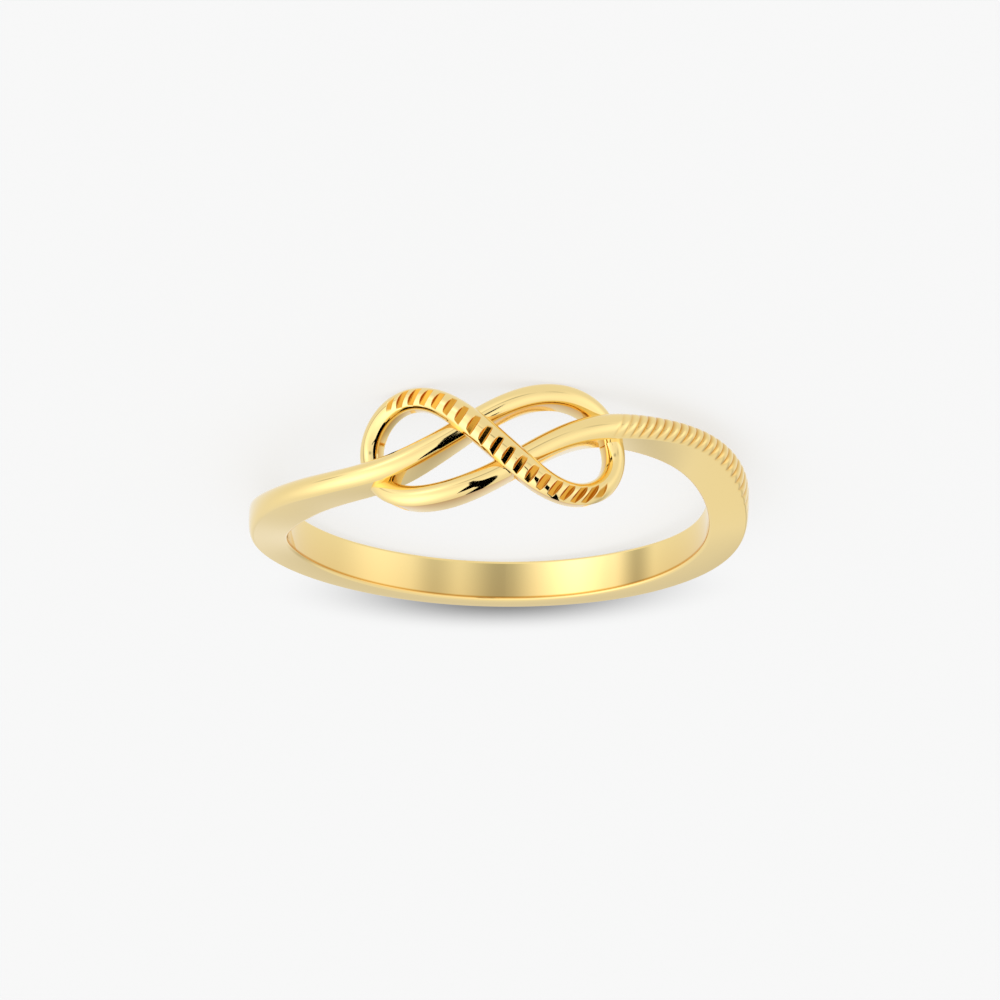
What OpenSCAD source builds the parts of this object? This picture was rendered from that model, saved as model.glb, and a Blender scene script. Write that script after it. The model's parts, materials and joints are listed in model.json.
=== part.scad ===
/* [Finger hole and band] */
// Diameter of the finger hole, ISO size 55 (mm)
finger_hole_d = 17.5; // [15:0.1:21]
// Width of the band along the finger, at its back (mm)
band_w = 1.76; // [1.2:0.02:3]

/* [Knot] */
// From the knot's middle round the finger to the end of a loop's centre line (mm)
knot_reach = 5.4; // [4:0.1:7]
// From the knot's middle along the finger to the top of an arc's centre line (mm)
knot_half = 2.2; // [1.5:0.1:3]
// Height of the top strand over the finger hole, at the knot's middle (mm)
knot_rise = 2.1; // [1.5:0.05:3]
// Width of one plain strand at the edge of its dome (mm)
strand_w = 0.9; // [0.6:0.02:1.4]
// Rounding of a strand's lower edges (mm)
edge_round = 0.2; // [0.05:0.01:0.3]

/* [Cut pattern] */
// Grooves on each side of the middle one of the top strand
grooves_each_side = 9; // [0:1:9]
// Depth of the grooves across the top strand (mm)
groove_depth = 0.17; // [0.1:0.01:0.25]
// Notches across the ribbed shoulder
notch_count = 22; // [2:1:22]
// Depth of the notches across the ribbed shoulder (mm)
notch_depth = 0.1; // [0.05:0.01:0.15]

/* [Lying pose] */
// Tilt of the ring about the side to side axis as it lies (deg)
lie_tilt = -4.94; // [-8:0.01:8]
// Roll of the ring about the knot to back axis as it lies (deg)
lie_roll = 1.47; // [-3:0.01:3]
// Height of the finger hole's centre over the surface below (mm)
lie_height = 1.757; // [1:0.001:3]
// Shift that centres the ring's box over the origin, side to side (mm)
shift_x = 0.03; // [-1:0.001:1]
// Shift that centres the ring's box over the origin, knot to back (mm)
shift_y = 0.533; // [-1:0.001:1]

/* [Hidden] */
bore_r = finger_hole_d / 2;
// radius of the cylinder on which the strand's route is laid out, at half the band's thickness
route_height = 0.65;
wrap_r = bore_r + route_height;
half_turn = PI * wrap_r;

// Each table's rows are in hundredths of the named sizes, with these columns:
// along, across, crown height, dome edge height, sole height, dome width, sole width,
// and then as plain numbers the dome's squareness and fullness
// Top strand, from the knot's middle to the first bend of its loop
top_strand = [
    [  0.0,   0.0, 100.0, 77.1, 42.9, 124.4, 111.1, 1, 0.80],
    [-17.4, -40.0,  98.1, 75.2, 41.9, 122.2, 108.9, 1, 0.80],
    [-33.7, -72.7,  89.5, 67.6, 35.7, 116.7, 103.3, 1, 0.80],
    [-50.0, -90.0,  78.6, 58.1, 27.6, 108.9,  97.8, 1, 0.80],
    [-67.0, -91.8,  66.7, 47.6, 18.1, 103.3,  93.3, 1, 0.80],
    [-83.0, -75.5,  56.2, 38.1,  9.5, 100.0,  91.1, 1, 0.80]];
// Loop at the end of the knot
end_loop = [
    [-94.3, -46.8,  49.5, 31.0,  2.9,  97.8,  88.9, 1, 0.80],
    [-99.8, -12.7,  45.2, 27.6, -1.0,  96.7,  88.9, 1, 0.80],
    [-98.1,  22.7,  45.2, 28.6, -2.4,  95.6,  88.9, 1, 0.80],
    [-90.7,  54.5,  49.5, 34.3, -2.4,  95.6,  88.9, 1, 0.80]];
// Long arc that goes back over the knot's length
long_arc = [
    [-78.7,  81.4,  54.8, 40.5, -2.4,  96.7,  88.9, 1, 0.80],
    [-63.3,  96.8,  62.9, 47.6, -2.4,  97.8,  88.9, 1, 0.80],
    [-46.3, 100.0,  69.5, 53.3, -2.4,  97.8,  88.9, 1, 0.80],
    [-28.7,  92.7,  71.4, 55.2, -2.4,  97.8,  91.1, 1, 0.80],
    [-12.0,  76.8,  69.0, 52.4, -2.4,  97.8,  93.3, 1, 0.80]];
// Stretch that passes under the top strand towards a shoulder
under_strand = [
    [  4.1,  56.4,  64.3, 47.6, -2.4,  98.9,  96.7, 1, 0.80],
    [ 20.0,  31.8,  64.3, 46.7, -2.4, 100.0, 100.0, 1, 0.80],
    [ 35.6,   7.3,  69.0, 50.0, -2.4, 104.4, 103.3, 1, 0.80],
    [ 51.9, -15.5,  76.2, 56.2, -2.4, 108.9, 106.7, 1, 0.80]];
// Ribbed shoulder, with along in hundredths of half a turn and widths of the band
ribbed_shoulder = [
    [12.6, -42.6, 82.9, 62.9, -2.4,  58.5,  56.8, 1.0, 0.80],
    [16.3, -59.7, 86.7, 66.7, -2.4,  60.2,  61.4, 1.0, 0.80],
    [20.7, -70.5, 88.6, 69.5, -2.4,  58.0,  71.0, 1.0, 0.80],
    [25.4, -78.4, 89.5, 71.4, -2.4,  54.5,  85.2, 1.0, 0.80],
    [30.5, -83.0, 89.5, 71.4, -2.4,  53.4,  97.7, 1.0, 0.80],
    [35.9, -78.4, 87.6, 70.5, -2.4,  59.1, 104.5, 1.0, 0.84],
    [42.3, -60.2, 83.8, 69.5, -2.4,  71.0, 104.5, 0.8, 0.90],
    [50.1, -29.5, 78.6, 70.5, -2.4,  82.4,  95.5, 0.6, 1.00]];
// Plain shoulder
plain_shoulder = [
    [12.6, -44.3, 82.9, 62.9, -2.4,  55.7,  55.7, 1.0, 0.80],
    [16.3, -59.1, 86.7, 67.6, -2.4,  53.4,  55.7, 1.0, 0.80],
    [20.7, -62.5, 87.6, 69.0, -2.4,  51.1,  56.8, 1.0, 0.80],
    [25.4, -59.5, 86.7, 69.0, -2.4,  53.5,  61.4, 1.0, 0.80],
    [30.5, -51.0, 84.8, 67.6, -2.4,  52.0,  76.1, 1.0, 0.80],
    [35.9, -42.0, 81.9, 66.7, -2.4,  54.0,  90.9, 1.0, 0.84],
    [42.3, -30.7, 79.0, 64.8, -2.4,  65.3,  97.7, 0.8, 0.90],
    [50.1, -13.6, 77.1, 67.6, -2.4,  82.4,  98.9, 0.6, 1.00]];
// Back of the band, on the ribbed shoulder's side
ribbed_back = [
    [ 57.6, -12.5, 74.3, 69.1, -2.4,  83.0,  87.5, 0.5, 1.00],
    [ 65.7,  -4.5, 71.6, 67.3, -2.4,  85.2,  88.1, 0.5, 1.00],
    [ 74.5,  -2.3, 63.2, 58.9, -2.4,  93.2,  95.5, 0.5, 1.00],
    [ 83.3,  -1.1, 54.4, 50.1, -2.4,  98.9,  99.4, 0.5, 1.00],
    [ 91.8,   0.0, 47.1, 42.9, -2.4, 100.0, 100.0, 0.5, 1.00],
    [100.0,   0.0, 45.7, 41.4, -2.4, 100.0, 100.0, 0.5, 1.00]];
// Back of the band, on the plain shoulder's side
plain_back = [
    [ 57.6,  -3.4, 73.3, 68.1, -2.4,  90.9,  97.7, 0.5, 1.00],
    [ 65.7,   0.0, 66.7, 62.4, -2.4,  94.3,  97.7, 0.5, 1.00],
    [ 74.5,   1.1, 58.1, 53.8, -2.4,  96.6,  98.9, 0.5, 1.00],
    [ 83.3,   1.1, 51.4, 47.1, -2.4,  98.9, 100.0, 0.5, 1.00],
    [ 91.8,   0.0, 47.1, 42.9, -2.4, 100.0, 100.0, 0.5, 1.00],
    [100.0,   0.0, 45.7, 41.4, -2.4, 100.0, 100.0, 0.5, 1.00]];

// A table's rows in millimetres
function sized(table, along, across, wide) = [for (r = table)
    concat([r[0] * along, r[1] * across] / 100,
           [r[2], r[3], r[4]] * knot_rise / 100,
           [r[5], r[6]] * wide / 100,
           [r[7], r[8]])];
knot_rows = sized(concat(top_strand, end_loop, long_arc, under_strand), knot_reach, knot_half, strand_w);
ribbed_rows = sized(concat(ribbed_shoulder, ribbed_back), half_turn, band_w, band_w);
plain_rows = sized(concat(plain_shoulder, plain_back), half_turn, band_w, band_w);
one_way = concat(knot_rows, ribbed_rows);
other_way = concat(knot_rows, plain_rows);
last_row = len(one_way) - 1;

// Row i of the closed strand, counted from the knot's middle both ways
function row(i) =
    let (laps = floor((i + last_row) / (2 * last_row)),
         j = i - laps * 2 * last_row,
         side = j < 0 ? -1 : 1,
         r = j < 0 ? other_way[-j] : one_way[j])
    concat([r[0] * side + laps * 2 * half_turn, r[1] * side], [for (k = [2:8]) r[k]]);

// Smooth curve through the rows (uniform cubic B-spline)
function blend(t) =
    let (i = floor(t), x = t - i)
    (pow(1 - x, 3) * row(i - 1)
     + (3 * pow(x, 3) - 6 * x * x + 4) * row(i)
     + (3 * x * x + 3 * x + 1 - 3 * pow(x, 3)) * row(i + 1)
     + pow(x, 3) * row(i + 2)) / 6;

// Station whose place along the finger's curve is u, between stations lo and hi
function station_at(u, lo, hi, halvings = 16) =
    let (mid = (lo + hi) / 2)
    halvings == 0 ? mid :
    blend(mid)[0] < u ? station_at(u, mid, hi, halvings - 1) : station_at(u, lo, mid, halvings - 1);
function steps(from, to, n) = [for (i = [0:n]) from + (to - from) * i / n];

// Grooves of the top strand, a little further apart towards the loops
groove_pitch = 0.45;
groove_spread = 0.0095;
groove_offset = -0.31;
groove_floor = 0.09;
groove_wall = 0.14;
groove_margin = 0.4;
groove_reach = grooves_each_side * (groove_pitch + groove_spread * grooves_each_side) + groove_margin;
groove_numbers = [-grooves_each_side:grooves_each_side];
function groove_at(k) = groove_offset + k * (groove_pitch + groove_spread * abs(k));
groove_sides = [-groove_wall, -groove_floor, 0, groove_floor, groove_wall];
groove_stations = [for (k = groove_numbers, side = groove_sides) groove_at(k) + side];
same_station = 0.003;
function grooves_over(t) = [for (k = groove_numbers) if (abs(t - groove_at(k)) < groove_floor + same_station) k];
// They lean the same way in plan, and a little less towards the loops
groove_lean = 31;
groove_lean_loss = 16;
lean_loss_power = 6;
function lean(t) =
    let (share = min(1, abs(t - groove_offset) / groove_reach))
    groove_lean - groove_lean_loss * pow(share, lean_loss_power);
// Their floors dip to one side, most in the middle, and turn to face the finger's tip
dip_at_ends = 0.15;
dip_gain = 0.35;
dip_middle = 0.5;
dip_spread = 2.2;
floor_step = 1.17;
function dip(k) = dip_at_ends + dip_gain * exp(-pow((k - dip_middle) / dip_spread, 2));
floor_turn = 22;
turn_from = 1.6;
turn_to = -0.4;
function turned(t) = floor_turn * max(0, min(1, (turn_from - t) / (turn_from - turn_to)));
// The last ones are shallower
end_lift = 0.06;
lifted_ends = 1.6;
lift_power = 1.5;
function lift(k) = end_lift * pow(max(0, abs(k) - grooves_each_side + lifted_ends), lift_power);
dome_r = 0.57;
function floor_height(t, k, x) =
    lift(k) + dip(k) * (t - groove_at(k)) * floor_step
    - dome_r + (dome_r - groove_depth) / cos(turned(t)) + tan(turned(t)) * x;

// Notches of the ribbed shoulder, a little further apart towards the back
first_notch = 30.1;
notch_pitch = 2.15;
notch_spread = 0.026;
notch_half = 0.45;
notch_fade = 4;
notch_lean = 0.4;
notch_side_power = 6;
shoulder_start = 19;
shoulder_end = 28;
function notch_angle(k) = first_notch + k * (notch_pitch + notch_spread * k);
notch_stations = [for (k = [0:notch_count - 1], side = [-1, 0, 1])
    station_at((notch_angle(k) + side * notch_half) * PI / 180 * wrap_r, shoulder_start, shoulder_end)];
function notches_over(t) = [for (k = [0:notch_count - 1])
    if (abs(t - notch_stations[3 * k + 1]) < same_station) k];
function notch_share(k) = min(1, (k + 1) / notch_fade, (notch_count - k) / notch_fade);
// Share of the notches' lean, which grows from each end of the shoulder
function in_shoulder(t) = max(0, min(1, t - shoulder_start, shoulder_end - t));

// Cross-section of the strand: a dome on a straight-walled foot with rounded lower edges
dome_steps = 5;
function dome_point(r, angle) =
    let (full = 90 * r[8],
         rise = max(0, (cos(angle * r[8]) - cos(full)) / (1 - cos(full))))
    [r[5] / 2 * sign(angle) * pow(sin(abs(angle) * r[8]) / sin(full), r[7]),
     r[3] + (r[2] - r[3]) * pow(rise, r[7])];
function dome(r) = [for (i = [-dome_steps:dome_steps]) dome_point(r, 90 * i / dome_steps)];
function lower_edge(r) = [for (a = [0:45:90])
    [r[6] / 2 - edge_round * (1 - cos(a)), r[4] + edge_round * (1 - sin(a))]];
function flipped(points) = [for (i = [len(points) - 1:-1:0]) [-points[i][0], points[i][1]]];
function cut_dome(r, t) =
    let (groove = grooves_over(t), notch = notches_over(t))
    len(groove) > 0 ?
        [for (p = dome(r)) [p[0], min(p[1], r[2] + floor_height(t, groove[0], p[0]))]] :
    len(notch) > 0 ?
        [for (p = dome(r))
            let (side = pow(max(0, 2 * p[0] / r[5]), notch_side_power))
            [p[0], p[1] - notch_depth * notch_share(notch[0]) * (1 - side)]] :
    dome(r);
function section(r, t) = concat(cut_dome(r, t), lower_edge(r), flipped(lower_edge(r)));

// Point at u round the finger, v along it and h over the finger hole
function wrapped(u, v, h) =
    let (angle = u / wrap_r * 180 / PI, radius = bore_r + h)
    [-radius * sin(angle), -radius * cos(angle), v];

// How far the sections of the top strand swing to lie along its grooves
most_skew = 0.6;
skew_fade = 1.5;
function skew(t, tu, tv) =
    let (d = [sin(lean(t)), -cos(lean(t))],
         s = (d[0] * tu + d[1] * tv) / (-d[0] * tv + d[1] * tu),
         fade = max(0, min(1, 1 - (abs(t) - groove_reach) / skew_fade)))
    max(-most_skew, min(most_skew, s)) * fade;

// Section at station t, grown a little where the two stretches overlap
function ring_at(t, grow) =
    let (r = blend(t),
         ahead = blend(t + 0.001) - blend(t - 0.001),
         len2 = norm([ahead[0], ahead[1]]),
         tu = ahead[0] / len2,
         tv = ahead[1] / len2,
         s = abs(t) < groove_reach + skew_fade ? skew(t, tu, tv) : -notch_lean * in_shoulder(t))
    [for (p = section(r, t))
        wrapped(r[0] + p[0] * grow * (s * tu - tv), r[1] + p[0] * grow * (s * tv + tu), p[1] * grow)];

module sweep(stations, grow) {
    rings = [for (t = stations) ring_at(t, grow)];
    m = len(rings[0]);
    n = len(rings);
    polyhedron(
        points = [for (r = rings) each r],
        faces = concat(
            [[for (j = [0:m - 1]) j]],
            [for (i = [0:n - 2], j = [0:m - 1])
                let (a = i * m + j, b = i * m + (j + 1) % m)
                [a, a + m, b + m, b]],
            [[for (j = [m - 1:-1:0]) (n - 1) * m + j]]));
}

// The top strand, both loops and both arcs, up to where they pass under the top strand
knot_end = 13.3;
gap = 0.3;
loop_steps = 26;
knot_stations = concat(
    steps(-knot_end, -groove_reach - gap, loop_steps),
    groove_stations,
    steps(groove_reach, knot_end, loop_steps + 1));
// The rest of the strand: under the top strand, both shoulders and the back
overlap = 0.3;
overlap_grow = 1.01;
last_notch = notch_stations[len(notch_stations) - 1];
back_end = 2 * last_row - 26;
under_steps = 22;
back_steps = 32;
plain_steps = 42;
band_stations = concat(
    steps(knot_end - overlap, notch_stations[0] - gap / 2, under_steps),
    notch_stations,
    steps(last_notch + gap, back_end, back_steps),
    steps(back_end + gap, 2 * last_row - knot_end + overlap, plain_steps));

module knotted_band() {
    color([0.93, 0.79, 0.45])
        translate([shift_x, shift_y, lie_height])
            rotate([lie_tilt, lie_roll, 0])
                difference() {
                    union() {
                        sweep(knot_stations, 1);
                        sweep(band_stations, overlap_grow);
                    }
                    cylinder(r = bore_r, h = 4 * bore_r, center = true, $fn = 200);
                }
}

knotted_band();
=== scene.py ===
import json
import math
import bpy
import numpy as np
from mathutils import Matrix, Vector


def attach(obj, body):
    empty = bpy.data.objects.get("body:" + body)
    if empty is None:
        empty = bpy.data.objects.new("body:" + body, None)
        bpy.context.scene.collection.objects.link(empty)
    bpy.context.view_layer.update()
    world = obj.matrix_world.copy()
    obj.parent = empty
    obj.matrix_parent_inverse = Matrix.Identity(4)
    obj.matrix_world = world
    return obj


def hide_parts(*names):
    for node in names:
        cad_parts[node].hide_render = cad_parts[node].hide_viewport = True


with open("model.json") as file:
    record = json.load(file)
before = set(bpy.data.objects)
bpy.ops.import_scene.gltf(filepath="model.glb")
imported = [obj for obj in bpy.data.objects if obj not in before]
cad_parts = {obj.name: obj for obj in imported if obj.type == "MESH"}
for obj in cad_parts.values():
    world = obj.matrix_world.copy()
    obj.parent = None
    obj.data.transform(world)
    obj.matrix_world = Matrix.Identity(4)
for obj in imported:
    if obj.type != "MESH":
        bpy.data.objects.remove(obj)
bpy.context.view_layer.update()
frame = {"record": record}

# Ring
# One strand of cast 14 carat yellow gold, wound into an open sideways figure at the front and filed
# flat-sided into a plain band at the back. Its inside is bored round for the finger.
MM = 0.001
# in millimetres: the finger hole and the band, the knot's reach to its end loops and its arcs and its
# height over the bore, a strand's width, and the rounding of its lower edges
BORE_R = 8.75
BAND_W = 1.76
KNOT_REACH = 5.4
KNOT_HALF = 2.2
KNOT_RISE = 2.1
STRAND_W = 0.9
EDGE_ROUND = 0.2
# the strand's route is laid out round a cylinder that is a little wider than the bore
ROUTE_RISE = 0.65
WRAP_R = BORE_R + ROUTE_RISE
HALF_TURN = math.pi * WRAP_R

# Rows in hundredths of the sizes above: along, across, crown, dome edge and sole height, dome and
# sole width; then the dome's squareness and fullness
TOP_STRAND = [
    [0.0, 0.0, 100.0, 77.1, 42.9, 124.4, 111.1, 1, 0.80],
    [-17.4, -40.0, 98.1, 75.2, 41.9, 122.2, 108.9, 1, 0.80],
    [-33.7, -72.7, 89.5, 67.6, 35.7, 116.7, 103.3, 1, 0.80],
    [-50.0, -90.0, 78.6, 58.1, 27.6, 108.9, 97.8, 1, 0.80],
    [-67.0, -91.8, 66.7, 47.6, 18.1, 103.3, 93.3, 1, 0.80],
    [-83.0, -75.5, 56.2, 38.1, 9.5, 100.0, 91.1, 1, 0.80],
]
END_LOOP = [
    [-94.3, -46.8, 49.5, 31.0, 2.9, 97.8, 88.9, 1, 0.80],
    [-99.8, -12.7, 45.2, 27.6, -1.0, 96.7, 88.9, 1, 0.80],
    [-98.1, 22.7, 45.2, 28.6, -2.4, 95.6, 88.9, 1, 0.80],
    [-90.7, 54.5, 49.5, 34.3, -2.4, 95.6, 88.9, 1, 0.80],
]
LONG_ARC = [
    [-78.7, 81.4, 54.8, 40.5, -2.4, 96.7, 88.9, 1, 0.80],
    [-63.3, 96.8, 62.9, 47.6, -2.4, 97.8, 88.9, 1, 0.80],
    [-46.3, 100.0, 69.5, 53.3, -2.4, 97.8, 88.9, 1, 0.80],
    [-28.7, 92.7, 71.4, 55.2, -2.4, 97.8, 91.1, 1, 0.80],
    [-12.0, 76.8, 69.0, 52.4, -2.4, 97.8, 93.3, 1, 0.80],
]
UNDER_STRAND = [
    [4.1, 56.4, 64.3, 47.6, -2.4, 98.9, 96.7, 1, 0.80],
    [20.0, 31.8, 64.3, 46.7, -2.4, 100.0, 100.0, 1, 0.80],
    [35.6, 7.3, 69.0, 50.0, -2.4, 104.4, 103.3, 1, 0.80],
    [51.9, -15.5, 76.2, 56.2, -2.4, 108.9, 106.7, 1, 0.80],
]
RIBBED_SHOULDER = [
    [12.6, -42.6, 82.9, 62.9, -2.4, 58.5, 56.8, 1.0, 0.80],
    [16.3, -59.7, 86.7, 66.7, -2.4, 60.2, 61.4, 1.0, 0.80],
    [20.7, -70.5, 88.6, 69.5, -2.4, 58.0, 71.0, 1.0, 0.80],
    [25.4, -78.4, 89.5, 71.4, -2.4, 54.5, 85.2, 1.0, 0.80],
    [30.5, -83.0, 89.5, 71.4, -2.4, 53.4, 97.7, 1.0, 0.80],
    [35.9, -78.4, 87.6, 70.5, -2.4, 59.1, 104.5, 1.0, 0.84],
    [42.3, -60.2, 83.8, 69.5, -2.4, 71.0, 104.5, 0.8, 0.90],
    [50.1, -29.5, 78.6, 70.5, -2.4, 82.4, 95.5, 0.6, 1.00],
]
PLAIN_SHOULDER = [
    [12.6, -44.3, 82.9, 62.9, -2.4, 55.7, 55.7, 1.0, 0.80],
    [16.3, -59.1, 86.7, 67.6, -2.4, 53.4, 55.7, 1.0, 0.80],
    [20.7, -62.5, 87.6, 69.0, -2.4, 51.1, 56.8, 1.0, 0.80],
    [25.4, -59.5, 86.7, 69.0, -2.4, 53.5, 61.4, 1.0, 0.80],
    [30.5, -51.0, 84.8, 67.6, -2.4, 52.0, 76.1, 1.0, 0.80],
    [35.9, -42.0, 81.9, 66.7, -2.4, 54.0, 90.9, 1.0, 0.84],
    [42.3, -30.7, 79.0, 64.8, -2.4, 65.3, 97.7, 0.8, 0.90],
    [50.1, -13.6, 77.1, 67.6, -2.4, 82.4, 98.9, 0.6, 1.00],
]
RIBBED_BACK = [
    [57.6, -12.5, 74.3, 69.1, -2.4, 83.0, 87.5, 0.5, 1.00],
    [65.7, -4.5, 71.6, 67.3, -2.4, 85.2, 88.1, 0.5, 1.00],
    [74.5, -2.3, 63.2, 58.9, -2.4, 93.2, 95.5, 0.5, 1.00],
    [83.3, -1.1, 54.4, 50.1, -2.4, 98.9, 99.4, 0.5, 1.00],
    [91.8, 0.0, 47.1, 42.9, -2.4, 100.0, 100.0, 0.5, 1.00],
    [100.0, 0.0, 45.7, 41.4, -2.4, 100.0, 100.0, 0.5, 1.00],
]
PLAIN_BACK = [
    [57.6, -3.4, 73.3, 68.1, -2.4, 90.9, 97.7, 0.5, 1.00],
    [65.7, 0.0, 66.7, 62.4, -2.4, 94.3, 97.7, 0.5, 1.00],
    [74.5, 1.1, 58.1, 53.8, -2.4, 96.6, 98.9, 0.5, 1.00],
    [83.3, 1.1, 51.4, 47.1, -2.4, 98.9, 100.0, 0.5, 1.00],
    [91.8, 0.0, 47.1, 42.9, -2.4, 100.0, 100.0, 0.5, 1.00],
    [100.0, 0.0, 45.7, 41.4, -2.4, 100.0, 100.0, 0.5, 1.00],
]
ALONG, ACROSS, CROWN, DOME_EDGE, SOLE, DOME_W, SOLE_W, SQUARENESS, FULLNESS = range(9)


def sized(table, along, across, wide):
    """A table's rows in millimetres."""
    rise = KNOT_RISE / 100
    scale = [along / 100, across / 100, rise, rise, rise, wide / 100, wide / 100, 1, 1]
    return np.array(table) * scale


knot_rows = sized(TOP_STRAND + END_LOOP + LONG_ARC + UNDER_STRAND, KNOT_REACH, KNOT_HALF, STRAND_W)
ribbed_rows = sized(RIBBED_SHOULDER + RIBBED_BACK, HALF_TURN, BAND_W, BAND_W)
plain_rows = sized(PLAIN_SHOULDER + PLAIN_BACK, HALF_TURN, BAND_W, BAND_W)
one_way = np.vstack([knot_rows, ribbed_rows])
other_way = np.vstack([knot_rows, plain_rows])
LAST_ROW = len(one_way) - 1


def row(i):
    """Rows i of the closed strand, counted from the knot's middle both ways."""
    laps = (i + LAST_ROW) // (2 * LAST_ROW)
    j = i - laps * 2 * LAST_ROW
    back = (j < 0)[:, None]
    r = np.where(back, other_way[abs(j)], one_way[abs(j)])
    r[:, :2] *= np.where(back, -1, 1)
    r[:, ALONG] += laps * 2 * HALF_TURN
    return r


def blend(t):
    """Smooth curve through the rows, a uniform cubic B-spline."""
    i = np.floor(t).astype(int)
    x = (t - i)[:, None]
    return ((1 - x) ** 3 * row(i - 1) + (3 * x ** 3 - 6 * x * x + 4) * row(i)
            + (3 * x * x + 3 * x + 1 - 3 * x ** 3) * row(i + 1) + x ** 3 * row(i + 2)) / 6


# How far to either side of t the route is looked at, for its direction and for its pace
AIM_STEP = 0.001
PACE_STEP = 0.01


def tangent(t):
    """Unit direction of the strand's route at t, laid out flat."""
    ahead = (blend(t + AIM_STEP) - blend(t - AIM_STEP))[:, :2]
    return ahead / np.linalg.norm(ahead, axis=1, keepdims=True)


def pace(t):
    """Millimetres along the strand's route for each row of t."""
    run = (blend(t + PACE_STEP) - blend(t - PACE_STEP))[:, :2]
    return np.linalg.norm(run, axis=1) / (2 * PACE_STEP)


# Grooves of the top strand: flat-bottomed cuts across the dome with steep walls, all leaning the
# same way, their floors dipping to one side; depths and widths in millimetres, places in rows
GROOVES_EACH_SIDE = 9
GROOVE_DEPTH = 0.17
GROOVE_HALF = 0.105
GROOVE_PITCH = 0.45
GROOVE_SPREAD = 0.0095
GROOVE_OFFSET = -0.31
GROOVE_REACH = 5.2
GROOVE_LEAN = 31
GROOVE_LEAN_LOSS = 16
LEAN_LOSS_POWER = 6
DIP_AT_ENDS = 0.15
DIP_GAIN = 0.35
DIP_MIDDLE = 0.5
DIP_SPREAD = 2.2
END_LIFT = 0.06
END_LIFT_OVER = 1.6
END_LIFT_POWER = 1.5
GROOVE_ROLL = 22
ROLL_FROM = 1.6
ROLL_TO = -0.4
WALL_SLOPE = 3
DOME_R = 0.57
CUT_SOFTNESS = 0.006
groove_k = np.arange(-GROOVES_EACH_SIDE, GROOVES_EACH_SIDE + 1)
groove_t = GROOVE_OFFSET + groove_k * (GROOVE_PITCH + GROOVE_SPREAD * abs(groove_k))
groove_dip = DIP_AT_ENDS + DIP_GAIN * np.exp(-((groove_k - DIP_MIDDLE) / DIP_SPREAD) ** 2)
near_end = np.maximum(0, abs(groove_k) - GROOVES_EACH_SIDE + END_LIFT_OVER)
groove_lift = END_LIFT * near_end ** END_LIFT_POWER
groove_share = np.minimum(1, abs(groove_t - GROOVE_OFFSET) / GROOVE_REACH)
groove_angle = np.radians(GROOVE_LEAN - GROOVE_LEAN_LOSS * groove_share ** LEAN_LOSS_POWER)
groove_line = np.stack([np.sin(groove_angle), -np.cos(groove_angle)], axis=1)
groove_run = tangent(groove_t)
groove_step = pace(groove_t)
groove_slant = (np.sum(groove_run * groove_line, axis=1)
                / (groove_run[:, 0] * groove_line[:, 1] - groove_run[:, 1] * groove_line[:, 0]))
groove_mm = groove_step / np.hypot(1, groove_slant)

# Notches of the ribbed shoulder: filed across, a little further apart toward the back; places in
# degrees round the finger, the shoulder's ends in rows
NOTCH_COUNT = 22
NOTCH_DEPTH = 0.1
FIRST_NOTCH = 30.1
NOTCH_PITCH = 2.15
NOTCH_SPREAD = 0.026
NOTCH_LEAN = 0.4
NOTCH_FADE = 4
NOTCH_POINT = 2.5
NOTCH_END_POWER = 6
SHOULDER = [19, 28]
SLANT_FADE = 1.5


def slant(t):
    """Run along the strand, in t for each millimetre across, of a line that lies with the grooves."""
    ends = [groove_t[0] - SLANT_FADE, groove_t[-1] + SLANT_FADE]
    grooved = np.interp(t, [ends[0], *groove_t, ends[1]], [0, *(groove_slant / groove_step), 0])
    notched = np.interp(t, [SHOULDER[0], SHOULDER[0] + 1, SHOULDER[1] - 1, SHOULDER[1]], [0, 1, 1, 0])
    return grooved - NOTCH_LEAN / pace(t) * notched


def cut_level(t, x):
    """Height of the nearest groove's cut below the crown, at t and x across the strand."""
    off = (t[:, None] - groove_t) * groove_mm
    past = np.maximum(0, abs(off) - GROOVE_HALF)
    bottom = groove_lift + groove_dip * np.clip(off, -GROOVE_HALF, GROOVE_HALF)
    nearest = np.min(bottom + WALL_SLOPE * past, axis=1)
    share = np.clip((ROLL_FROM - t) / (ROLL_FROM - ROLL_TO), 0, 1)
    turn = np.radians(GROOVE_ROLL * share)[:, None]
    return nearest[:, None] - DOME_R + (DOME_R - GROOVE_DEPTH) / np.cos(turn) + np.tan(turn) * x


def notch_drop(u, x):
    """Depth of the shoulder's notches at u round the finger and x across the strand."""
    turn = np.maximum(0, np.degrees((u + NOTCH_LEAN * x) / WRAP_R) - FIRST_NOTCH + NOTCH_PITCH / 2)
    k = (np.sqrt(NOTCH_PITCH ** 2 + 4 * NOTCH_SPREAD * turn) - NOTCH_PITCH) / (2 * NOTCH_SPREAD) - 0.5
    off = 2 * abs(k - np.round(k))
    fade = np.clip((k + 1) / NOTCH_FADE, 0, 1) * np.clip((NOTCH_COUNT - k) / NOTCH_FADE, 0, 1)
    return NOTCH_DEPTH * fade * (1 - off) ** NOTCH_POINT


# Points round the section: the dome, then the rounded edge at either side of the bore
DOME_STEPS = 24
EDGE_STEPS = 5
DOME_END = 2 * DOME_STEPS
EDGE_END = DOME_END + EDGE_STEPS + 2
PLACES = DOME_END + 1 + 2 * (EDGE_STEPS + 1)
# Painted shade, from 0 to 1, where the gold is painted a darker, browner gold: in cuts, in full where they
# are as deep as the first number below, along the knot's creases and in the notches; and a painted dark
# reflection along one edge of the band's inside
SHADE_FULL_DEPTH = 0.03
CREASE_SHADE = 0.8
CREASE_END = 19
CREASE_FADE = 4
EDGE_REFLECTION_PAINT = (0.5, 1, 0.2)


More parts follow.
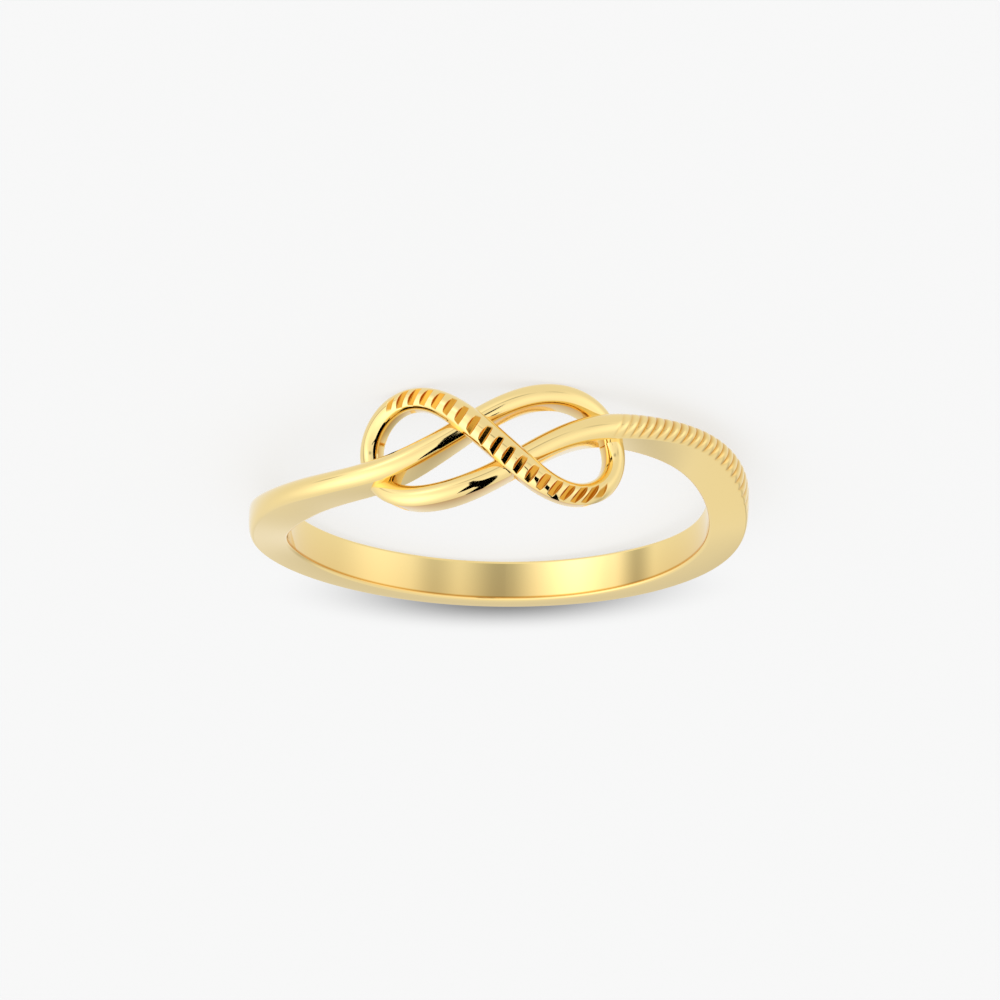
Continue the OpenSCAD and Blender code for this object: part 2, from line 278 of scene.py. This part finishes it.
def section(r):
    """Across and height of the points of sections with the rows r, one row for each point."""
    angle = np.radians(np.linspace(-90, 90, DOME_END + 1))[None, :]
    turn = np.radians(np.linspace(0, 90, EDGE_STEPS + 1))[None, :]
    dome, wall, far_wall = np.split(r, [DOME_END + 1, EDGE_END], axis=1)
    bend = angle * dome[..., FULLNESS]
    full = np.radians(90) * dome[..., FULLNESS]
    power = dome[..., SQUARENESS]
    side = np.sign(angle) * (np.sin(abs(bend)) / np.sin(full)) ** power
    rise = np.maximum(0, (np.cos(bend) - np.cos(full)) / (1 - np.cos(full))) ** power
    x = [dome[..., DOME_W] / 2 * side,
         wall[..., SOLE_W] / 2 - EDGE_ROUND * (1 - np.cos(turn)),
         EDGE_ROUND * (1 - np.cos(turn[:, ::-1])) - far_wall[..., SOLE_W] / 2]
    h = [dome[..., DOME_EDGE] + (dome[..., CROWN] - dome[..., DOME_EDGE]) * rise,
         wall[..., SOLE] + EDGE_ROUND * (1 - np.sin(turn)),
         far_wall[..., SOLE] + EDGE_ROUND * (1 - np.sin(turn[:, ::-1]))]
    return np.hstack(x), np.hstack(h)


def ring_points(t):
    """Points of the sections at stations t, as (station, place, xyz) in ring axes, and their painted
    shade.
    """
    x, _ = section(np.repeat(blend(t)[:, None, :], PLACES, axis=1))
    place = t[:, None] + slant(t)[:, None] * x
    r = blend(place.ravel()).reshape(*place.shape, -1)
    along = tangent(place.ravel()).reshape(*place.shape, 2)
    x, h = section(r)
    u = r[..., ALONG] - x * along[..., 1]
    v = r[..., ACROSS] + x * along[..., 0]
    on_dome = np.arange(PLACES) <= DOME_END

    level = r[..., CROWN] + cut_level(t, x)
    cut = -CUT_SOFTNESS * np.logaddexp(-h / CUT_SOFTNESS, -level / CUT_SOFTNESS)
    top = (abs(t) < GROOVE_REACH + 1)[:, None] & on_dome
    # the cut floors are painted a darker gold: painted shade
    painted_shade = np.where(top, np.clip((h - cut) / SHADE_FULL_DEPTH, 0, 1), 0)
    h = np.where(top, cut, h)

    # painted shade along the knot's creases, where the dome meets the walls
    crease = np.isin(np.arange(PLACES), (0, DOME_END))
    painted_shade += CREASE_SHADE * crease * np.clip((CREASE_END - abs(t)) / CREASE_FADE, 0, 1)[:, None]
    # a painted dark reflection line on the rounded edge at one side of the band's inside
    on_band = np.clip((abs(t) - CREASE_END) / CREASE_FADE, 0, 1)[:, None]
    painted_shade[:, EDGE_END - len(EDGE_REFLECTION_PAINT):EDGE_END] += EDGE_REFLECTION_PAINT * on_band

    shoulder = ((t > SHOULDER[0]) & (t < SHOULDER[1]))[:, None] & on_dome
    run_out = 1 - np.clip(2 * x / r[..., DOME_W], 0, 1) ** NOTCH_END_POWER
    drop = np.where(shoulder, notch_drop(u, x) * run_out, 0)
    h = h - drop
    # the notches are painted darker with their depth: painted shade
    painted_shade = np.clip(painted_shade + drop / NOTCH_DEPTH, 0, 1)

    radius = BORE_R + np.maximum(h, 0)
    a = u / WRAP_R
    return np.stack([-radius * np.sin(a), -radius * np.cos(a), v], axis=-1), painted_shade


def tube_mesh(name, rings, painted_shade):
    """A closed tube of quads through the rings, smooth but for its sharp edges."""
    n, m = rings.shape[:2]
    i, j = [g.ravel() for g in np.meshgrid(np.arange(n), np.arange(m), indexing="ij")]
    ahead, beside = (i + 1) % n, (j + 1) % m
    faces = np.stack([i * m + j, i * m + beside, ahead * m + beside, ahead * m + j], axis=1)
    mesh = bpy.data.meshes.new(name)
    mesh.from_pydata(rings.reshape(-1, 3).tolist(), [], faces.tolist())
    mesh.polygons.foreach_set("use_smooth", [True] * len(mesh.polygons))
    ends = np.zeros(2 * len(mesh.edges), dtype=int)
    mesh.edges.foreach_get("vertices", ends)
    ends = ends.reshape(-1, 2)
    lengthwise = ends[:, 0] % m == ends[:, 1] % m
    on_crease = np.isin(ends[:, 0] % m, (0, DOME_END))
    sharp = mesh.attributes.new("sharp_edge", "BOOLEAN", "EDGE")
    sharp.data.foreach_set("value", lengthwise & on_crease)
    # the painted shade goes on the points, for the gold's colour
    mesh.attributes.new("painted_shade", "FLOAT", "POINT").data.foreach_set("value", painted_shade.ravel())
    mesh.update()
    return mesh


def add_object(name, mesh):
    """A mesh as an object in the scene."""
    piece = bpy.data.objects.new(name, mesh)
    bpy.context.scene.collection.objects.link(piece)
    return piece


# Stretches of the strand, in rows: from, to and step between sections, finest where it is cut
STRETCHES = [
    [-LAST_ROW, -6, 0.12],
    [-6, 5.6, 0.015],
    [5.6, 19.9, 0.12],
    [19.9, 26.5, 0.02],
    [26.58, LAST_ROW, 0.12],
]
stations = np.concatenate([np.arange(*stretch) for stretch in STRETCHES])

# The ring lies on its side, on the knot's edge and the band's back, as the finger hole's axis says
mount = frame["record"]["mounts"][0]
axis = Vector(mount["axis"]).normalized()
lie_roll = math.atan2(axis.x, axis.z)
lie_tilt = math.asin(-axis.y)
lie = (Matrix.Translation(Vector(mount["pos_m"])) @ Matrix.Rotation(lie_roll, 4, "Y")
       @ Matrix.Rotation(lie_tilt, 4, "X"))
points, painted_shade = ring_points(stations)
mesh = tube_mesh("ring", points * MM, painted_shade)
mesh.transform(lie)
ring = add_object("ring", mesh)


def linear(hex_colour):
    """sRGB hex to linear RGBA."""
    channels = [int(hex_colour[k:k + 2], 16) / 255 for k in (1, 3, 5)]
    return [c / 12.92 if c <= 0.04045 else ((c + 0.055) / 1.055) ** 2.4 for c in channels] + [1]


def add_node(tree, kind, settings=(), links=()):
    """A node with its settings, and links from (node, output) pairs to its named inputs."""
    node = tree.nodes.new(kind)
    for name, value in dict(settings).items():
        if isinstance(name, int) or name in node.inputs:
            node.inputs[name].default_value = value
        else:
            setattr(node, name, value)
    for name, (source, output) in dict(links).items():
        tree.links.new(source.outputs[output], node.inputs[name])
    return node


def new_material(name):
    """A new material and its shader."""
    material = bpy.data.materials.new(name)
    material.use_nodes = True
    return material, material.node_tree.nodes["Principled BSDF"]


# 14 carat yellow gold, buffed to a mirror, so that it shows the white tent round it. The cuts, creases and
# notches are painted a darker, browner gold as painted shade, and one edge of the band's inside as a
# painted dark reflection.
GOLD = linear("#F6DC98")
SHADE_GOLD = linear("#D49A3A")
# places of the two colours and of the mixed colour among the Mix node's sockets
MIX_A, MIX_B, MIX_RESULT = 6, 7, 2
gold, shader = new_material("polished_yellow_gold")
shader.inputs["Base Color"].default_value = GOLD
shader.inputs["Metallic"].default_value = 1
shader.inputs["Roughness"].default_value = 0.07
# painted shade: mixes the gold toward the darker, browner gold
shade_paint = add_node(gold.node_tree, "ShaderNodeAttribute", {"attribute_name": "painted_shade"})
tone = add_node(gold.node_tree, "ShaderNodeMix", {"data_type": "RGBA", MIX_A: GOLD, MIX_B: SHADE_GOLD},
                {"Factor": (shade_paint, "Fac")})
gold.node_tree.links.new(tone.outputs[MIX_RESULT], shader.inputs["Base Color"])
ring.data.materials.append(gold)
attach(ring, "root")
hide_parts("knotted_band")

# Floor
# A pale matt sheet of paper that the ring lies on, lit mostly by a lamp of its own. The ring's polish
# doesn't show it, because it shows only the white tent.
FLOOR_HALF = 0.4
floor_mesh = bpy.data.meshes.new("floor")
floor_mesh.from_pydata([(x, y, 0) for x, y in ((-1, -1), (1, -1), (1, 1), (-1, 1))], [], [(0, 1, 2, 3)])
floor_mesh.transform(Matrix.Scale(FLOOR_HALF, 4))
floor = add_object("floor", floor_mesh)
# matt paper, which looks even and nearly white; its own glow keeps the shadow from going black
paper, paper_shader = new_material("matt_white_paper")
paper_shader.inputs["Base Color"].default_value = linear("#707070")
paper_shader.inputs["Emission Color"].default_value = (1, 1, 1, 1)
paper_shader.inputs["Emission Strength"].default_value = 0.11
paper_shader.inputs["Roughness"].default_value = 0.9
floor.data.materials.append(paper)
floor.visible_glossy = False

# Camera
# It looks at the knot from just above the floor, and is held upside down, because the ring lies with
# the side to the floor that the photograph has at the top.
PX_PER_MM = 24.05
IMAGE_PX = 1000
DISTANCE = 400
RING_X, RING_Y = 498.5, 516.8
ELEVATION, YAW, ROLL = [math.radians(a) for a in (18.1, 2.07, 0.9)]
SENSOR = 36
back = Vector((-math.sin(YAW) * math.cos(ELEVATION), -math.cos(YAW) * math.cos(ELEVATION),
               math.sin(ELEVATION)))
level = Vector((-math.cos(YAW), math.sin(YAW), 0))
above = back.cross(level)
right = level * math.cos(ROLL) + above * math.sin(ROLL)
up = above * math.cos(ROLL) - level * math.sin(ROLL)
stand = (back * DISTANCE + right * ((IMAGE_PX / 2 - RING_X) / PX_PER_MM)
         + up * ((RING_Y - IMAGE_PX / 2) / PX_PER_MM))
pose = Matrix.Identity(4)
for column, vector in enumerate((right, up, back, stand * MM)):
    for line in range(3):
        pose[line][column] = vector[line]
camera_data = bpy.data.cameras.new("camera")
camera_data.sensor_width = SENSOR
camera_data.lens = PX_PER_MM * DISTANCE / IMAGE_PX * SENSOR
camera_data.clip_end = 10
camera = bpy.data.objects.new("camera", camera_data)
bpy.context.scene.collection.objects.link(camera)
camera.matrix_world = lie @ pose
bpy.context.scene.camera = camera

# Tent
# White cloth all round the ring, below it too, because the photographed ring hangs free. Some of its
# sheets are brighter and some darker, and they are what the polish shows.
world = bpy.data.worlds.new("tent")
world.use_nodes = True
bpy.context.scene.world = world
tree = world.node_tree


def towards(azimuth, elevation):
    """Direction from the ring, azimuth from the knot's side, in degrees."""
    a, e = math.radians(azimuth), math.radians(elevation)
    return Vector((-math.sin(a) * math.cos(e), -math.cos(a) * math.cos(e), math.sin(e)))


def facing(azimuth, elevation):
    """Direction of a sheet's middle, and the directions to its side and its top."""
    middle = towards(azimuth, elevation)
    side = Vector((0, 0, 1)).cross(middle).normalized()
    return middle, side, middle.cross(side)


TENT = 0.915
# azimuth, elevation, half width and half height of each sheet in degrees, and what it adds
SHEETS = [
    [-70, 40, 89, 80, 0.86],
    [25, 45, 88, 80, 0.29],
    [150, 17, 88, 18, -0.34],
    [70, 4, 38, 50, 0.42],
    [37, -11, 16, 8, -0.27],
    [0, -13, 25, 8, -0.55],
    [-42, -17, 75, 40, 0.42],
    [-79, -18, 16, 8, -0.52],
    [-40, -16, 22, 14, 0.45],
]
direction = add_node(tree, "ShaderNodeTexCoord")
total = None
for azimuth, elevation, width, height, gain in SHEETS:
    middle, side, top = facing(azimuth, elevation)
    across, along, ahead = [
        add_node(tree, "ShaderNodeVectorMath", {"operation": "DOT_PRODUCT", 1: vector},
                 {0: (direction, "Generated")})
        for vector in (side / math.sin(math.radians(width)), top / math.sin(math.radians(height)), middle)]
    spot = add_node(tree, "ShaderNodeCombineXYZ", {}, {"X": (across, "Value"), "Y": (along, "Value")})
    off = add_node(tree, "ShaderNodeVectorMath", {"operation": "LENGTH"}, {0: (spot, "Vector")})
    inside = add_node(tree, "ShaderNodeMapRange", {"interpolation_type": "SMOOTHSTEP", "From Min": 1,
                                                   "From Max": 0, "To Min": 0, "To Max": gain},
                      {"Value": (off, "Value")})
    before = add_node(tree, "ShaderNodeMath", {"operation": "GREATER_THAN", 1: 0}, {0: (ahead, "Value")})
    lit = add_node(tree, "ShaderNodeMath", {"operation": "MULTIPLY_ADD", 2: TENT},
                   {0: (inside, "Result"), 1: (before, "Value")})
    if total:
        tree.links.new(total.outputs[0], lit.inputs[2])
    total = lit
tree.links.new(total.outputs[0], tree.nodes["Background"].inputs["Strength"])
tree.nodes["Background"].inputs["Color"].default_value = (1, 1, 1, 1)

# Flags
# Black felt cut to shape and held close to the knot, out of every ray but the polish's, which shows
# them as the black streaks on the strands and in the grooves.
BLACK = (0, 0, 0, 1)
# the point that each stands before, its direction from there in degrees, how far off it stands, and
# its outline to its side and up, in millimetres
FLAGS = {
    "long_flag": [(0, -10.3, 2.5), 95, 40, 6, [
        (-5.6, 3.1), (-3.5, 2.75), (0, 2.15), (2.5, 2.05), (4, 2.4), (5.1, 3.1), (6.8, 3.5), (10.9, 4),
        (16, 4.4), (45, 5.6), (45, 8.8), (29, 7.6), (14, 6.3), (7, 5.8), (5, 6.4), (2.7, 7), (0.2, 7.4),
        (0.8, 4.6), (-1, 3.9), (-2.3, 4.3), (-4, 4.7), (-5.6, 4.9),
    ]],
    "loop_flag": [(4.86, -7.72, 2.02), 33.5, 10.4, 0.8, [
        (-0.45, -0.26), (0.05, -0.3), (0.1, 0.24), (-0.4, 0.3),
    ]],
}


def hide_from(aid, *rays):
    """Keeps a lighting aid out of the named kinds of ray."""
    for ray in rays:
        setattr(aid, "visible_" + ray, False)


# wool felt, which gives no gloss at all
felt, felt_shader = new_material("black_felt")
felt_shader.inputs["Base Color"].default_value = BLACK
felt_shader.inputs["Specular IOR Level"].default_value = 0
felt_shader.inputs["Roughness"].default_value = 1
for name, (point, azimuth, elevation, distance, outline) in FLAGS.items():
    middle, side, top = facing(azimuth, elevation)
    corners = [Vector(point) + distance * middle + x * side + y * top for x, y in outline]
    flag_mesh = bpy.data.meshes.new(name)
    flag_mesh.from_pydata([c * MM for c in corners], [], [range(len(outline))])
    flag = add_object(name, flag_mesh)
    flag.data.materials.append(felt)
    hide_from(flag, "camera", "diffuse", "shadow", "transmission", "volume_scatter")

# Gauze
# Black gauze close to the floor behind the band, thinner outwards. It screens the tent and the lamp,
# and gives the soft shadow below the band, but no camera sees it and the polish doesn't show it.
GAUZE_HEIGHT = 0.1
GAUZE_INSIDE, GAUZE_THINS, GAUZE_OUTSIDE = 9.2, 12.9, 16.8
GAUZE_ARC = 45
GAUZE_RINGS = 16
GAUZE_STEPS = 30
reach, turn = (grid.ravel() for grid in np.meshgrid(
    np.linspace(GAUZE_INSIDE, GAUZE_OUTSIDE, GAUZE_RINGS + 1),
    np.radians(np.linspace(-GAUZE_ARC, GAUZE_ARC, GAUZE_STEPS + 1)), indexing="ij"))
centre = mount["pos_m"]
gauze_points = np.stack([centre[0] - reach * np.sin(turn) * MM, centre[1] + reach * np.cos(turn) * MM,
                         np.full(reach.size, GAUZE_HEIGHT * MM)], 1)
row_size = GAUZE_STEPS + 1
gauze_faces = [(k, k + 1, k + 1 + row_size, k + row_size)
               for k in (r * row_size + c for r in range(GAUZE_RINGS) for c in range(GAUZE_STEPS))]
thinning = np.clip((reach - GAUZE_THINS) / (GAUZE_OUTSIDE - GAUZE_THINS), 0, 1)
weave = (1 + np.cos(np.pi * thinning)) / 2 * np.cos(turn * 90 / GAUZE_ARC) ** 2
gauze_mesh = bpy.data.meshes.new("gauze")
gauze_mesh.from_pydata(gauze_points.tolist(), [], gauze_faces)
gauze_mesh.attributes.new("weave", "FLOAT", "POINT").data.foreach_set("value", weave)
gauze = add_object("gauze", gauze_mesh)
# cotton gauze, whose open weave lets more light through toward its edges
netting, netting_shader = new_material("black_gauze")
netting_shader.inputs["Base Color"].default_value = BLACK
threads = add_node(netting.node_tree, "ShaderNodeAttribute", {"attribute_name": "weave"})
netting.node_tree.links.new(threads.outputs["Fac"], netting_shader.inputs["Alpha"])
gauze.data.materials.append(netting)
hide_from(gauze, "camera", "glossy", "transmission", "volume_scatter")

# Lamp
# A soft lamp beside the camera for the floor only: the polish doesn't show it, and only the gauze
# screens it, because the photograph has no other shadow.
LAMP_AZIMUTH, LAMP_ELEVATION = 2, 19
LAMP_POWER = 37.8
LAMP_ANGLE = 3
lamp_data = bpy.data.lights.new("front_lamp", "SUN")
lamp_data.energy = LAMP_POWER
lamp_data.angle = math.radians(LAMP_ANGLE)
lamp = bpy.data.objects.new("front_lamp", lamp_data)
bpy.context.scene.collection.objects.link(lamp)
lamp.matrix_world = towards(LAMP_AZIMUTH, LAMP_ELEVATION).to_track_quat("Z", "Y").to_matrix().to_4x4()
lamp.visible_glossy = False
screens = bpy.data.collections.new("lamp_screens")
screens.objects.link(gauze)
lamp.light_linking.blocker_collection = screens
bpy.context.scene.view_settings.view_transform = "Standard"
